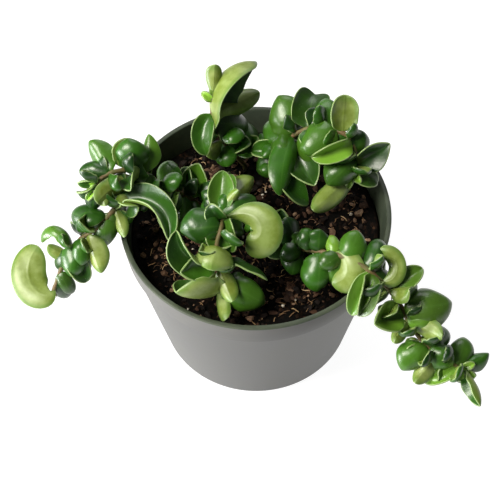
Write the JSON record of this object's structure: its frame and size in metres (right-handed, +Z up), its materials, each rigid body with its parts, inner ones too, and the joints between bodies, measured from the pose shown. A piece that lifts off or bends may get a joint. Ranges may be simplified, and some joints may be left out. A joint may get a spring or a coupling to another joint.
{
  "type": "potted plant",
  "caption": "Tapered round nursery pot of potting mix with trailing vines of thick, tightly curled and folded leaves that arch over the rim.",
  "frame": {"origin": "middle of the underside of the pot's flat floor", "axes": "+Z up, -Y towards the side that the long right vine and the centre vine lean to, +X to the right in the picture"},
  "size_m": [0.2616, 0.1811, 0.1609],
  "materials": {
    "pot_plastic": "semi-matte grey-green nursery pot plastic",
    "potting_mix": "matt, dark and crumbly, with bark chips",
    "foliage": "waxy dark green above, paler satin yellow-green beneath"
  },
  "bodies": {
    "root": {"pot": "pot_plastic", "potting_mix": "potting_mix", "left_vine": "foliage", "centre_vine": "foliage", "top_vine": "foliage", "back_vine": "foliage", "right_vine": "foliage"}
  },
  "joints": []
}
